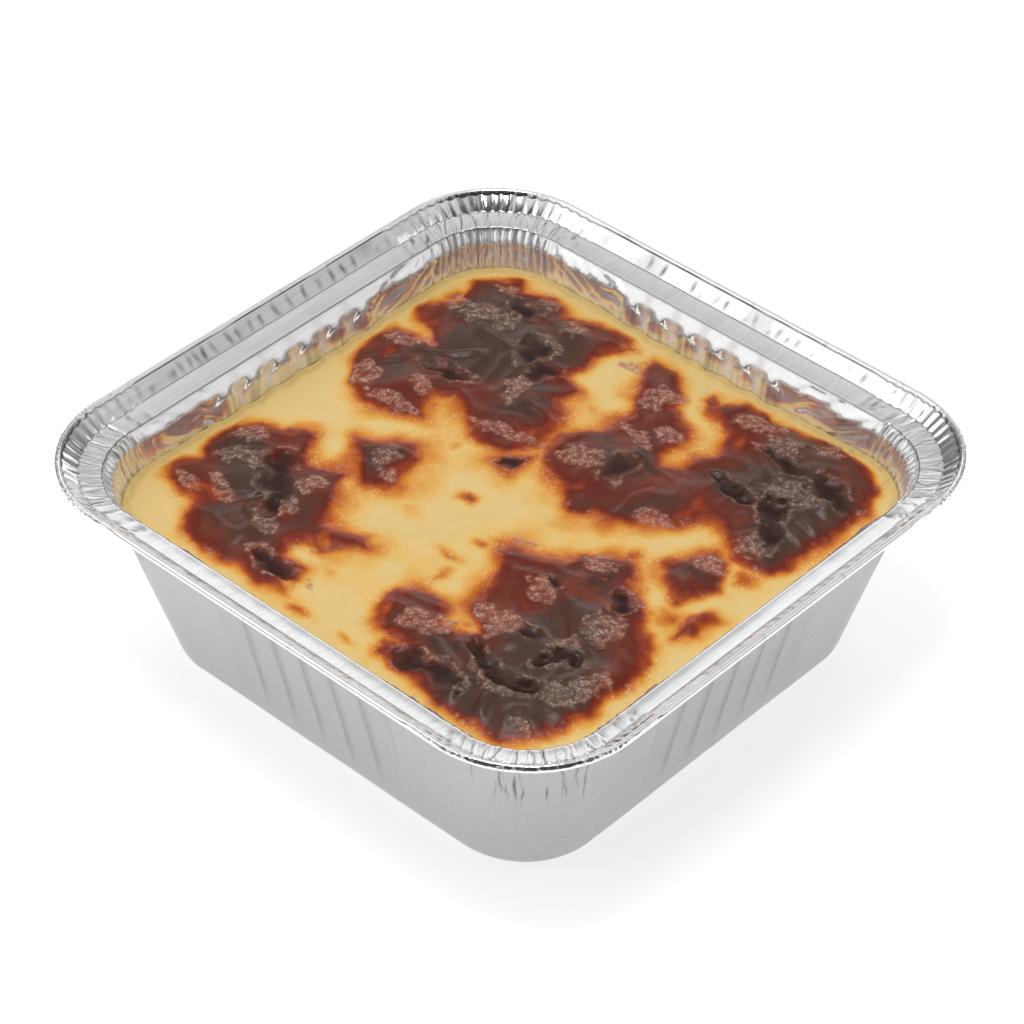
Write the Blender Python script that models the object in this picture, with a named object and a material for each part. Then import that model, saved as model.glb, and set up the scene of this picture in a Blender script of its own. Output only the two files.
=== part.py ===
"""A square, pressed foil tray with a rolled rim, and the browned bake that fills it.

Metres, +Z up. The origin is the middle of the underside, the sides run along X and Y,
and the tray stands on the plane Z = 0.
"""

import math

import bmesh
import bpy
from mathutils import Vector

# Driving sizes of the tray
TRAY_LENGTH = 0.2017
TRAY_WIDTH = 0.1983
BEAD_RADIUS = 0.00115
BEAD_HEIGHT = 0.0654
SHEET = 0.0005
CREASE_INSET = 0.0064
CREASE_HEIGHT = 0.0619
LEDGE_INSET = 0.0125
LEDGE_HEIGHT = 0.06065
BASE_INSET = 0.0249
BASE_BEND = 0.0037
RIM_CORNER = 0.0357
LEDGE_CORNER = 0.0250
BASE_CORNER = 0.0247

# Upright flutes pressed into the middle of each side: pitch, and shift along the side
FLUTES = 6
FLUTE_BANDS = ((0.0110, 0.0), (0.0107, 0.0026), (0.0112, 0.0003), (0.0110, 0.0))
FLUTE_DEPTH = 0.0011
FLUTE_SHUT_TOP = 0.0585
FLUTE_OPEN_TOP = 0.0530
FLUTE_OPEN_BASE = 0.0200
FLUTE_SHUT_BASE = 0.0060

# The bake inside
FILL_GAP = 0.0003
FILL_HEIGHT = 0.0488
FILL_CROWN = 0.0012
FILL_RINGS = 17

# How finely the outline is divided
STEPS_PER_FLUTE = 4
CORNER_STEPS = 8
WALL_HEIGHTS = (0.0100, 0.0250, 0.0450, 0.0530, 0.0560, 0.0585)
BEAD_TURNS = (150.0, 105.0, 60.0, 15.0, -30.0, -75.0, -120.0)

# Swells and dips of the baked skin: X, Y, radius and height, in millimetres
SKIN_SWELLS = (
    (-54, 53, 22, 2.6),
    (-22, 26, 10, 1.6),
    (-66, 17, 12, 1.8),
    (-30, 69, 10, 1.4),
    (-3, 64, 9, 1.8),
    (14, 26, 13, 1.9),
    (33, 38, 12, 1.8),
    (57, 50, 20, 2.8),
    (62, 71, 10, 1.4),
    (-60, -46, 21, 2.4),
    (-33, -66, 10, 1.6),
    (-35, -16, 8, 1.6),
    (16, -54, 12, 2.0),
    (59, -46, 21, 2.6),
    (58, -19, 10, 1.6),
    (62, 8, 8, 1.1),
    (73, -7, 6, 1.0),
)
SKIN_DIPS = (
    (-51, 28, 7, -1.8),
    (-38, 50, 6, -1.6),
    (-56, 65, 6, -1.2),
    (-55, -36, 7, -2.2),
    (-46, -50, 5, -1.2),
    (-27, -66, 7, -1.6),
    (16, 28, 6, -1.6),
    (44, 43, 6, -1.9),
    (61, 40, 6, -2.0),
    (66, 61, 7, -1.4),
    (38, -54, 6, -1.9),
    (51, -57, 6, -2.0),
    (56, -42, 6, -1.8),
    (31, -67, 6, -1.6),
    (53, -13, 5, -1.2),
    (0, 0, 26, -0.6),
)


def smooth_step(low, high, value):
    """Zero below low, one above high, with a soft change between them."""
    share = min(max((value - low) / (high - low), 0.0), 1.0)
    return share * share * (3.0 - 2.0 * share)


def flute_share(side, along, height):
    """How far a flute stands in at a place along a side: 0 between flutes, 1 on a crest."""
    pitch, shift = FLUTE_BANDS[side]
    place = (along - shift) / pitch + FLUTES / 2.0
    if place < 0.0 or place > FLUTES:
        return 0.0
    crest = 0.5 - 0.5 * math.cos(2.0 * math.pi * place)
    top = 1.0 - smooth_step(FLUTE_OPEN_TOP, FLUTE_SHUT_TOP, height)
    foot = smooth_step(FLUTE_SHUT_BASE, FLUTE_OPEN_BASE, height)
    return crest * top * foot


def side_stations(side, straight_end):
    """Places along one side, from one corner's start to the other's."""
    pitch, shift = FLUTE_BANDS[side]
    count = FLUTES * STEPS_PER_FLUTE
    middle = [shift + pitch * (step / STEPS_PER_FLUTE - FLUTES / 2.0) for step in range(count + 1)]
    return [(middle[0] - straight_end) / 2.0] + middle + [(middle[-1] + straight_end) / 2.0]


def outline(inset, corner, height):
    """One level round the tray: four fluted sides joined by round corners."""
    points = []
    for side in range(4):
        turn = side * math.pi / 2.0
        along_x = side % 2 == 1
        reach = (TRAY_WIDTH if along_x else TRAY_LENGTH) / 2.0 - inset
        half_run = (TRAY_LENGTH if along_x else TRAY_WIDTH) / 2.0 - inset - corner
        for along in side_stations(side, half_run):
            out = reach - FLUTE_DEPTH * flute_share(side, along, height)
            points.append(turned(out, along, turn, height))
        for step in range(CORNER_STEPS + 1):
            angle = math.pi / 2.0 * step / CORNER_STEPS
            out = reach - corner + corner * math.cos(angle)
            points.append(turned(out, half_run + corner * math.sin(angle), turn, height))
    return points


def turned(out, along, turn, height):
    """A point given outwards and along the first side, turned to its own side."""
    cosine = round(math.cos(turn))
    sine = round(math.sin(turn))
    return Vector((out * cosine - along * sine, out * sine + along * cosine, height))


def wall_corner(height):
    """Corner radius of the wall, easing from the base to the ledge."""
    return BASE_CORNER + (LEDGE_CORNER - BASE_CORNER) * height / LEDGE_HEIGHT


def wall_lean():
    """Lean of the outer wall from upright, tangent to the bend at the base."""
    across = BASE_INSET + BASE_BEND - LEDGE_INSET + SHEET
    rise = LEDGE_HEIGHT - SHEET - BASE_BEND
    return math.atan2(across, rise) - math.asin(BASE_BEND / math.hypot(across, rise))


def wall_inset(height, inside):
    """Inset of the wall's outer face at a height, or of a face further in by inside."""
    lean = wall_lean()
    foot = BASE_INSET + BASE_BEND - BASE_BEND * math.cos(lean)
    foot_height = BASE_BEND - BASE_BEND * math.sin(lean)
    return foot - (height - foot_height) * math.tan(lean) + inside / math.cos(lean)


def base_levels(inside):
    """The floor's edge and the bend up into the wall, as inset, corner and height."""
    bend = BASE_BEND - inside
    centre_inset = BASE_INSET + BASE_BEND
    levels = []
    for share in (0.0, 0.5, 1.0):
        angle = share * (math.pi / 2.0 - wall_lean())
        inset = centre_inset - bend * math.sin(angle)
        height = BASE_BEND - bend * math.cos(angle)
        levels.append((inset, BASE_CORNER + BASE_INSET - inset, height))
    return levels


def wall_levels(heights, inside):
    """Levels of the wall at the given heights."""
    return [(wall_inset(height, inside), wall_corner(height) - inside, height) for height in heights]


def bead_levels():
    """The solid rolled bead, from the top of the lip round to its underside."""
    levels = []
    for degrees in BEAD_TURNS:
        angle = math.radians(degrees)
        inset = BEAD_RADIUS - BEAD_RADIUS * math.cos(angle)
        height = BEAD_HEIGHT + BEAD_RADIUS * math.sin(angle)
        levels.append((inset, RIM_CORNER - inset, height))
    return levels


def tray_levels():
    """Every level of the sheet, up the inside, round the bead and down the outside."""
    crease_corner = RIM_CORNER - CREASE_INSET
    upper = [
        (LEDGE_INSET, LEDGE_CORNER, LEDGE_HEIGHT),
        (CREASE_INSET, crease_corner, CREASE_HEIGHT),
    ]
    lower = [
        (CREASE_INSET - 0.2 * SHEET, crease_corner, CREASE_HEIGHT - SHEET),
        (LEDGE_INSET - SHEET, LEDGE_CORNER + SHEET, LEDGE_HEIGHT - SHEET),
    ]
    inner = base_levels(SHEET) + wall_levels(WALL_HEIGHTS, SHEET)
    outer = base_levels(0.0) + wall_levels(WALL_HEIGHTS, 0.0)
    return inner + upper + bead_levels() + lower + outer[::-1]


def first_rim(mesh, points):
    """A closed loop of edges to grow a skin from."""
    rim = [mesh.verts.new(point) for point in points]
    for index, vertex in enumerate(rim):
        mesh.edges.new((rim[index - 1], vertex))
    return rim


def rim_edges(mesh, rim):
    """The edges of a rim, in order."""
    return [mesh.edges.get((rim[index - 1], vertex)) for index, vertex in enumerate(rim)]


def grow_rim(mesh, rim, points):
    """Extrudes a rim to the next level and returns the new rim in the same order."""
    made = bmesh.ops.extrude_edge_only(mesh, edges=rim_edges(mesh, rim))
    fresh = {item for item in made["geom"] if isinstance(item, bmesh.types.BMVert)}
    grown = []
    for vertex, point in zip(rim, points):
        partner = next(e.other_vert(vertex) for e in vertex.link_edges if e.other_vert(vertex) in fresh)
        partner.co = point
        grown.append(partner)
    return grown


def close_rim(mesh, rim):
    """Closes a rim with faces that meet in its middle."""
    made = bmesh.ops.contextual_create(mesh, geom=rim_edges(mesh, rim))
    poked = bmesh.ops.poke(mesh, faces=made["faces"])
    return poked["verts"][0]


def skin_height(point):
    """Height of the baked surface over a place on the plan."""
    reach_x = 2.0 * point.x / TRAY_LENGTH
    reach_y = 2.0 * point.y / TRAY_WIDTH
    edge = max(abs(reach_x), abs(reach_y))
    height = FILL_CROWN * (1.0 - smooth_step(0.68, 0.86, edge))
    for across, along, radius, rise in SKIN_SWELLS + SKIN_DIPS:
        away = math.hypot(point.x * 1000.0 - across, point.y * 1000.0 - along) / radius
        height += 0.001 * rise * math.exp(-2.0 * away * away) * (1.0 - smooth_step(0.76, 0.86, edge))
    return height


def finish(name, mesh, material, smooth_angle):
    """Turns a closed skin into a named, smooth-shaded object."""
    bmesh.ops.recalc_face_normals(mesh, faces=mesh.faces)
    data = bpy.data.meshes.new(name)
    mesh.to_mesh(data)
    mesh.free()
    data.shade_smooth()
    data.set_sharp_from_angle(angle=math.radians(smooth_angle))
    data.materials.append(material)
    thing = bpy.data.objects.new(name, data)
    bpy.context.scene.collection.objects.link(thing)
    return thing


def plain_material(name, colour, metallic, roughness):
    """A plain surface of one colour."""
    material = bpy.data.materials.new(name)
    material.use_nodes = True
    surface = material.node_tree.nodes["Principled BSDF"]
    surface.inputs["Base Color"].default_value = (*colour, 1.0)
    surface.inputs["Metallic"].default_value = metallic
    surface.inputs["Roughness"].default_value = roughness
    return material


def make_tray():
    """The pressed sheet: floor, fluted walls, flat ledge, raised lip and rolled bead."""
    mesh = bmesh.new()
    levels = tray_levels()
    rim = first_rim(mesh, outline(*levels[0]))
    floor = rim
    for level in levels[1:]:
        rim = grow_rim(mesh, rim, outline(*level))
    close_rim(mesh, floor)
    close_rim(mesh, rim)
    foil = plain_material("pressed foil", (0.80, 0.80, 0.81), 1.0, 0.28)
    return finish("tray", mesh, foil, 40.0)


def make_filling():
    """The set bake, solid down to the floor, with the browned skin's relief on top."""
    mesh = bmesh.new()
    inside = SHEET + FILL_GAP
    heights = [height for height in WALL_HEIGHTS if height < FILL_HEIGHT - 0.002] + [FILL_HEIGHT]
    levels = base_levels(inside) + wall_levels(heights, inside)
    rim = first_rim(mesh, outline(*levels[0]))
    floor = rim
    for level in levels[1:]:
        rim = grow_rim(mesh, rim, outline(*level))
    edge = [vertex.co.copy() for vertex in rim]
    for ring in range(1, FILL_RINGS):
        share = 1.0 - (ring / FILL_RINGS) ** 0.9
        places = [Vector((point.x * share, point.y * share, FILL_HEIGHT)) for point in edge]
        for place in places:
            place.z += skin_height(place)
        rim = grow_rim(mesh, rim, places)
    middle = close_rim(mesh, rim)
    middle.co.z = FILL_HEIGHT + skin_height(middle.co)
    close_rim(mesh, floor)
    bake = plain_material("baked filling", (0.72, 0.46, 0.20), 0.0, 0.42)
    return finish("filling", mesh, bake, 60.0)


def main():
    for thing in list(bpy.data.objects):
        bpy.data.objects.remove(thing, do_unlink=True)
    make_tray()
    make_filling()


main()
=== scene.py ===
"""A square foil tray with a creamy oven bake, browned and burnt in patches.

The tray and the bake each replace their plain solid. Lengths are metres unless a name
or a comment says millimetres. Lists of places on the bake are X and Y in millimetres
from the middle of the tray.
"""
import math

import bmesh
import bpy
import numpy as np
from mathutils import Matrix, Vector

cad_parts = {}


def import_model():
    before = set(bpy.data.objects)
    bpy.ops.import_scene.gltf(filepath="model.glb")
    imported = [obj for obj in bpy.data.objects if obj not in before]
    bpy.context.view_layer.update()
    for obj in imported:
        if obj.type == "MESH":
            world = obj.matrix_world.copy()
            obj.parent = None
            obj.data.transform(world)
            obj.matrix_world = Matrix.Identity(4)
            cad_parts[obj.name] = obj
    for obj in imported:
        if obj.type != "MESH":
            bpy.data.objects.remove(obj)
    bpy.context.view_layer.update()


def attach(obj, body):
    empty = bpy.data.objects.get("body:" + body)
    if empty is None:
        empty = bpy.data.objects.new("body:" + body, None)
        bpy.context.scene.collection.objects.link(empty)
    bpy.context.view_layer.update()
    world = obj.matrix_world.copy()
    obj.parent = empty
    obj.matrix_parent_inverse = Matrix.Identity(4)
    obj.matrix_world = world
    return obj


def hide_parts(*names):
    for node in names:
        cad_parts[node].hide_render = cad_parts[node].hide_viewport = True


MM = 0.001

# The photograph's view
LENS = 130.46
VIEW_TURN = 42.62
VIEW_RISE = 40.13
VIEW_DISTANCE = 1.056
VIEW_AIM = 0.020
VIEW_SLIDE = 0.0004
VIEW_LIFT = 0.0184
VIEW_ROLL = 0.40

# Sizes of the pressed tray, as in its solid
TRAY_LENGTH = 0.2017
TRAY_WIDTH = 0.1983
BEAD_RADIUS = 0.00110
BEAD_REACH = 0.00115
BEAD_HEIGHT = 0.0654
SHEET = 0.0005
CREASE_INSET = 0.0064
CREASE_HEIGHT = 0.0619
LEDGE_INSET = 0.0125
LEDGE_HEIGHT = 0.06065
BASE_INSET = 0.0249
BASE_BEND = 0.0037
RIM_CORNER = 0.0357
LEDGE_CORNER = 0.0250
BASE_CORNER = 0.0247

# Upright flutes in the middle of each side
FLUTES = 6
FLUTE_BANDS = ((0.0110, 0.0), (0.0107, 0.0026), (0.0112, 0.0003), (0.0110, 0.0))
HALF_BAND = 0.0375
FLUTE_DEPTH = 0.0013
FLUTE_TOP = 0.0580

# The pressed folds of the inner wall end here
WALL_TOP = 0.0606

# Pleats of the corners
PLEAT_LEAST = 1.1
PLEAT_MOST = 2.5
PLEAT_BAND = 40.0

# Where the random numbers of each kind of marking start
MARK_SEED = 20
NICK_SEED = 30
FOLD_SEED = 40
LEDGE_SEED = 60
FINE_SEED = 80
LIP_SEED = 100
SIDE_SEED = 131
CRIMP_SEED = 140
DENT_SEED = 200

# How finely the sheet is divided
BAND_STEPS = 96
RUN_STEPS = 18
CORNER_STEPS = 152

# The bake
FILL_HEIGHT = 0.0488
FILL_CROWN = 0.0012
FILL_GAP = 0.0001
GRID = 284
SIDE_LEVELS = (0.046, 0.040, 0.030, 0.020, 0.012, 0.007, 0.0045)

# Browned patches, outlined where golden turns to red-brown
PATCHES = {
    "back": (
        (-68, 78), (-71, 73), (-78, 68), (-76, 62), (-73, 56), (-79, 50), (-81, 45), (-73, 40), (-67, 38),
        (-63, 34), (-71, 35), (-79, 34), (-80, 27), (-78, 18), (-73, 11), (-69, 6), (-62, 3), (-56, 2),
        (-50, 4), (-43, 8), (-45, 12), (-47, 18), (-42, 22), (-35, 18), (-28, 13), (-21, 11), (-14, 13),
        (-10, 20), (-10, 29), (-14, 37), (-19, 41), (-18, 48), (-25, 50), (-23, 58), (-24, 67), (-20, 74),
        (-24, 77), (-32, 77), (-39, 74), (-45, 72), (-48, 75), (-53, 77), (-58, 75), (-62, 73),
    ),
    "right": (
        (-12, 74), (-10, 68), (-6, 61), (-3, 56), (1, 50), (-1, 45), (0, 41), (-1, 37), (-5, 34), (-8, 30),
        (-7, 23), (-4, 18), (1, 15), (6, 14), (11, 10), (16, 6), (20, 7), (23, 11), (28, 10), (31, 14),
        (36, 18), (41, 20), (43, 24), (46, 28), (50, 31), (54, 29), (59, 25), (63, 22), (68, 22), (73, 24),
        (76, 29), (76, 36), (76, 42), (76, 48), (77, 53), (76, 58), (77, 62), (75, 67), (73, 72), (68, 77),
        (61, 80), (54, 82), (49, 81), (43, 78), (36, 76), (28, 77), (22, 78), (19, 74), (15, 70), (12, 74),
        (12, 70), (15, 67), (21, 65), (27, 62), (30, 57), (31, 51), (28, 48), (28, 42), (23, 39), (19, 42),
        (19, 48), (20, 53), (18, 56), (13, 58), (9, 60), (8, 63), (4, 68), (0, 72), (-4, 75),
    ),
    "right_small": (
        (58, 20), (54, 14), (50, 8), (54, 3), (59, -1), (63, -3), (65, 2), (69, 9), (65, 14), (63, 19),
    ),
    "front_small": ((73, 1), (70, -4), (70, -10), (72, -14), (74, -8), (75, 0)),
    "front": (
        (30, -11), (32, -5), (38, -1), (43, 2), (46, -1), (49, -5), (54, -7), (58, -11), (63, -14), (65, -17),
        (70, -20), (74, -25), (75, -33), (75, -41), (75, -50), (74, -60), (71, -66), (69, -70), (64, -74),
        (59, -75), (49, -75), (39, -74), (31, -72), (24, -73), (19, -71), (16, -67), (22, -65), (13, -65),
        (8, -63), (6, -58), (4, -54), (5, -50), (10, -46), (17, -45), (21, -48), (23, -53), (30, -53),
        (33, -48), (28, -44), (23, -41), (22, -35), (21, -29), (18, -24), (14, -19), (17, -15), (24, -14),
    ),
    "left": (
        (-63, -18), (-67, -23), (-74, -25), (-79, -29), (-81, -36), (-79, -43), (-76, -47), (-79, -50),
        (-80, -55), (-77, -59), (-69, -61), (-63, -62), (-59, -69), (-54, -73), (-48, -73), (-40, -74),
        (-35, -72), (-28, -73), (-21, -72), (-18, -71), (-24, -68), (-19, -66), (-20, -62), (-28, -61),
        (-30, -58), (-28, -54), (-21, -53), (-18, -48), (-13, -44), (-17, -41), (-23, -44), (-29, -45),
        (-32, -41), (-35, -35), (-38, -29), (-40, -25), (-45, -27), (-50, -30), (-54, -27), (-56, -22),
        (-59, -18),
    ),
    "left_small": (
        (-50, -11), (-45, -10), (-40, -4), (-34, -3), (-30, -7), (-29, -11), (-26, -18), (-29, -22),
        (-34, -25), (-38, -23), (-42, -20), (-45, -15),
    ),
    "drop": ((-14, 10), (-10, 13), (-7, 16), (-7, 11), (-8, 8), (-11, 7)),
}

# Golden spots with no brown middle: X, Y, radii and strength
GOLDEN_SPOTS = (
    (-8, -9, 4, 3, 0.5), (5, -30, 6, 3, 0.4), (9, -38, 3, 6, 0.36), (8, -21, 5, 3, 0.42),
    (-27, 6, 3, 5, 0.3), (-17, -24, 6, 3, 0.26), (-10, 71, 6, 5, 0.4), (42, 4, 5, 6, 0.44),
    (66, -8, 6, 7, 0.42), (70, 18, 6, 5, 0.44), (-77, 57, 3, 7, 0.46), (-9, 44, 5, 4, 0.3),
    (-13, -57, 6, 4, 0.26), (8, -73, 5, 2, 0.36), (-10, -74, 7, 2, 0.4), (30, -12, 7, 5, 0.36),
    (-20, -72, 10, 3, 0.42), (28, -48, 5, 5, 0.36),
)

# Burnt, grey-black zones: X, Y, radii and strength
CHARRED = (
    (-48, 47, 17, 17, 1), (-63, 56, 10, 12, 0.75), (-34, 60, 10, 10, 0.75), (-53, 68, 8, 8, 0.5),
    (-62, 25, 6, 14, 0.55), (-27, 34, 9, 10, 0.4), (58, 54, 17, 14, 1), (50, 66, 12, 8, 0.8),
    (66, 40, 8, 13, 0.95), (45, 46, 9, 8, 0.85), (16, 30, 9, 10, 0.45), (-54, -45, 14, 9, 1),
    (-67, -39, 9, 7, 0.8), (-45, -60, 12, 8, 0.6), (56, -52, 17, 19, 1), (50, -32, 12, 12, 0.65),
    (52, -68, 16, 6, 0.95), (39, -58, 12, 7, 0.7), (-38, -13, 5, 7, 0.55),
)

# Broad swells of the skin: X, Y, radii and height
SWELLS = (
    (-50, 48, 22, 20, 2), (-62, 60, 11, 10, 1), (-35, 64, 11, 9, 1.3), (-24, 30, 14, 12, 1.8),
    (-55, 15, 11, 11, 1.7), (-73, 22, 7, 13, 1.2), (-2, 64, 9, 9, 1.6), (10, 28, 15, 13, 2.1),
    (34, 28, 11, 11, 1.4), (30, 71, 12, 7, 1.4), (50, 70, 15, 10, 2.3), (58, 46, 16, 14, 1.8),
    (71, 58, 8, 13, 1.4), (61, 8, 6, 10, 1.4), (73, -6, 3, 7, 0.8), (-70, -34, 10, 9, 2),
    (-54, -46, 12, 9, 1.2), (-44, -62, 14, 9, 1.8), (-72, -54, 9, 6, 1.3), (-38, -36, 8, 9, 1.6),
    (-25, -46, 10, 6, 1), (-38, -13, 8, 8, 1.4), (35, -18, 12, 12, 1.4), (54, -22, 10, 12, 1.5),
    (17, -55, 12, 9, 1.9), (40, -42, 10, 10, 1.2), (57, -50, 14, 16, 1.5), (70, -42, 7, 18, 1.9),
    (34, -64, 16, 7, 1.2), (56, -67, 14, 8, 1.2),
)

# Pits, torn bubbles and valleys: X, Y, radii, turn in degrees and depth
PITS = (
    (-51, 28, 6, 2, 8, 1.2), (-38, 51, 3.4, 5, 30, 0.8), (-30, 46, 2.2, 3.4, -30, 0.7),
    (-55, 65, 4, 2, 0, 0.7), (-56, -35, 2.6, 4, 30, 1.2), (-50, -42, 3.2, 5, 50, 1.3),
    (-45, -50, 2, 3, 20, 0.9), (-26, -66, 6.5, 1.9, -3, 1.1), (-32, -66, 1.5, 1.6, 0, 0.8),
    (15.5, 28, 2.2, 4.4, 5, 1.1), (44, 43, 6, 1.7, -14, 1.3), (59, 43, 2.6, 4.6, 38, 1.1),
    (64, 35, 2.4, 4.4, 30, 1.2), (66, 61, 7, 2.6, -12, 0.8), (47, 62, 7, 1.4, -4, 0.8),
    (53.5, -45, 1.6, 3.2, -10, 1.2), (57, -40.5, 3.8, 1.6, 10, 1.2), (37, -53.5, 3, 1.6, -30, 1.2),
    (43, -56.5, 3.6, 1.9, -18, 1.2), (49, -58, 3, 1.7, 5, 1.1), (55, -57, 3.4, 1.6, 20, 1.1),
    (27, -68, 4, 1.9, 12, 1), (36, -67, 5.5, 1.9, 2, 0.9), (44, -39.5, 3.4, 1.5, 0, 0.8),
    (53, -13, 1.8, 3.2, 20, 0.9), (34, -20.5, 1.6, 1.1, 0, 0.6), (-10, 10.5, 2.2, 1.2, 40, 0.6),
)

# Dry, speckled bubble tops: X, Y, radii and any turn in degrees
BLISTERS = (
    (-66, 70, 4.5, 2.8), (-52, 73, 4, 3.2), (-37, 68, 5.5, 4.2, -20), (-36, 57, 4.5, 2, -5),
    (-63, 54, 6.5, 4.5, 20), (-54, 56, 3.5, 6, 15), (-73, 55, 5, 4, -40), (-54, 67, 3, 1.6),
    (-30, 35, 3.4, 7, 15), (-73, 31, 6, 4, -25), (-67, 34, 5, 2, 20), (-52, 18, 5, 3, -20),
    (-50, 28, 8, 2.6, 8), (-54, 7, 9, 2.4, 8), (-20, 19, 12, 2.4, 12), (-68, 11, 4, 6, 30),
    (3, 62, 7, 4, 30), (2, 58, 4, 3), (31, 71, 8, 4.5, 20), (44, 67, 7, 4.5, -30), (53, 76, 4, 5, -30),
    (59, 53, 9, 4.5, 10), (63, 29, 4.5, 5), (9, 43, 7, 2.6, -12), (15, 50, 4, 4), (4, 25, 7, 5, 15),
    (60, 15, 4.5, 4.5), (36, 19, 6, 2.6, 15), (-72, -31, 5.5, 5), (-66, -40, 8, 3.6, 20),
    (-43, -36, 3.5, 4.5), (-42, -46, 3, 5.5, 35), (-39, -57, 5, 3, -10), (-60, -54, 9, 2, -25),
    (-71, -57, 7, 1.8, -10), (-31, -64, 4, 1.6), (-37, -12, 3.5, 6, 25), (-30, -17, 3, 3),
    (34, -24, 5.5, 4, -30), (36, -42, 5.5, 5.5), (57, -25, 5.5, 6), (54, -38, 3.4, 6),
    (57, -45, 5, 1.6, 30), (69, -46, 3.8, 8, -20), (20, -56, 8, 4, 15), (24, -53, 4, 4), (66, -53, 5, 4),
    (46, -61, 7, 1.4, -18), (34, -65, 10, 1.5, 4), (54, -61, 6, 1.5, 25), (66, -67, 3.6, 2.6),
    (16, -12, 3.5, 2, 20), (54, -10, 4, 3, -40), (38, -5, 4, 5, 40), (-14, 67, 4, 3),
    (29, -41, 4, 3, -40),
)


# Random relief and plain measures

def smooth(low, high, value):
    """Zero below low, one above high, easing between."""
    share = np.clip((value - low) / (high - low), 0.0, 1.0)
    return share * share * (3.0 - 2.0 * share)


def grain(across, along, size, seed):
    """Smooth random relief between about -1 and 1 with lumps of the given size."""
    lattice = np.random.default_rng(seed).uniform(0.0, 2.0 * math.pi, (256, 256))
    u = across / size + 71.3
    v = along / size + 37.7
    column = np.floor(u).astype(int)
    row = np.floor(v).astype(int)
    du = u - column
    dv = v - row
    ease_u = du * du * du * (du * (du * 6.0 - 15.0) + 10.0)
    ease_v = dv * dv * dv * (dv * (dv * 6.0 - 15.0) + 10.0)

    def corner(step_u, step_v):
        angle = lattice[(column + step_u) % 256, (row + step_v) % 256]
        return np.cos(angle) * (du - step_u) + np.sin(angle) * (dv - step_v)

    near = corner(0, 0) * (1.0 - ease_u) + corner(1, 0) * ease_u
    far = corner(0, 1) * (1.0 - ease_u) + corner(1, 1) * ease_u
    return 1.5 * (near * (1.0 - ease_v) + far * ease_v)


def ellipse_reach(across, along, centre_x, centre_y, radius_x, radius_y, turn=0):
    """Squared distance from the middle of an ellipse, 1 on its edge. The turn is in degrees."""
    angle = math.radians(turn)
    dx = across - centre_x
    dy = along - centre_y
    u = (dx * math.cos(angle) + dy * math.sin(angle)) / radius_x
    v = (-dx * math.sin(angle) + dy * math.cos(angle)) / radius_y
    return u * u + v * v


def inside_depth(across, along, outline):
    """Distance in millimetres from an outline's edge, positive inside it."""
    nearest = np.full(across.shape, 1e9)
    crossings = np.zeros(across.shape, dtype=int)
    for index, (x0, y0) in enumerate(outline):
        x1, y1 = outline[(index + 1) % len(outline)]
        run_x = x1 - x0
        run_y = y1 - y0
        share = ((across - x0) * run_x + (along - y0) * run_y) / (run_x * run_x + run_y * run_y)
        share = np.clip(share, 0.0, 1.0)
        away = np.hypot(across - x0 - share * run_x, along - y0 - share * run_y)
        nearest = np.minimum(nearest, away)
        if y0 != y1:
            spans = (y0 > along) != (y1 > along)
            crossings += spans & (across < x0 + run_x * (along - y0) / run_y)
    return np.where(crossings % 2 == 1, nearest, -nearest)


# Skins grown level by level

def first_rim(mesh, points):
    """A closed loop of edges to grow a skin from."""
    rim = [mesh.verts.new(point) for point in points]
    for index, vertex in enumerate(rim):
        mesh.edges.new((rim[index - 1], vertex))
    return rim


def rim_edges(mesh, rim):
    """The edges of a rim, in order."""
    return [mesh.edges.get((rim[index - 1], vertex)) for index, vertex in enumerate(rim)]


def grow_rim(mesh, rim, points):
    """Extrudes a rim to the next level and returns the new rim in the same order."""
    made = bmesh.ops.extrude_edge_only(mesh, edges=rim_edges(mesh, rim))
    fresh = {item for item in made["geom"] if isinstance(item, bmesh.types.BMVert)}
    grown = []
    for vertex, point in zip(rim, points):
        partner = next(e.other_vert(vertex) for e in vertex.link_edges if e.other_vert(vertex) in fresh)
        partner.co = point
        grown.append(partner)
    return grown


def close_rim(mesh, rim):
    """Closes a rim with faces that meet in its middle."""
    made = bmesh.ops.contextual_create(mesh, geom=rim_edges(mesh, rim))
    bmesh.ops.poke(mesh, faces=made["faces"])


def mesh_object(name, mesh, material):
    """Turns a finished mesh into an object of the scene."""
    data = bpy.data.meshes.new(name)
    mesh.to_mesh(data)
    mesh.free()
    data.materials.append(material)
    made = bpy.data.objects.new(name, data)
    bpy.context.scene.collection.objects.link(made)
    return made


def add_piece(name, mesh, material, node):
    """Turns a closed skin into a smooth piece that replaces its node."""
    bmesh.ops.recalc_face_normals(mesh, faces=mesh.faces)
    piece = mesh_object(name, mesh, material)
    piece.data.shade_smooth()
    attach(piece, "root")
    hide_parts(node)


# Materials

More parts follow.
